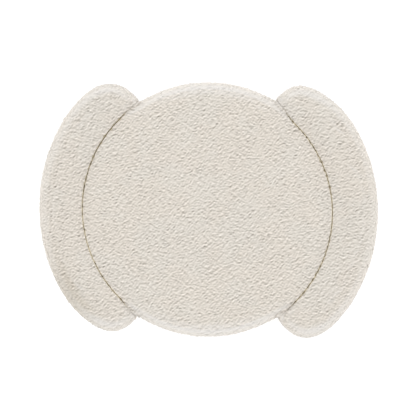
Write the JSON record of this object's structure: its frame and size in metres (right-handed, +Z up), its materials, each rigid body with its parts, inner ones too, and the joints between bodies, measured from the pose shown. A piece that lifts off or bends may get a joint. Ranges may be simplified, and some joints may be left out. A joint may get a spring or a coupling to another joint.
{
  "type": "upholstered ottoman",
  "caption": "Low ottoman upholstered in cream boucle: a round padded seat hugged by curved bolsters, for sitting on or resting feet.",
  "frame": {"origin": "on the floor under the middle of the round seat, within 2 mm of the middle of the footprint", "axes": "+X from the seat's middle to the wider crescent, +Y towards one open side of the seat, +Z up"},
  "size_m": [0.9137, 0.6884, 0.43],
  "materials": {
    "seat_drum_boucle": "matt cream boucle, short curled pile",
    "crescent_left_boucle": "matt cream boucle, short curled pile",
    "crescent_right_boucle": "matt cream boucle, short curled pile"
  },
  "bodies": {
    "root": {"seat_drum": "seat_drum_boucle", "crescent_left": "crescent_left_boucle", "crescent_right": "crescent_right_boucle"}
  },
  "joints": []
}
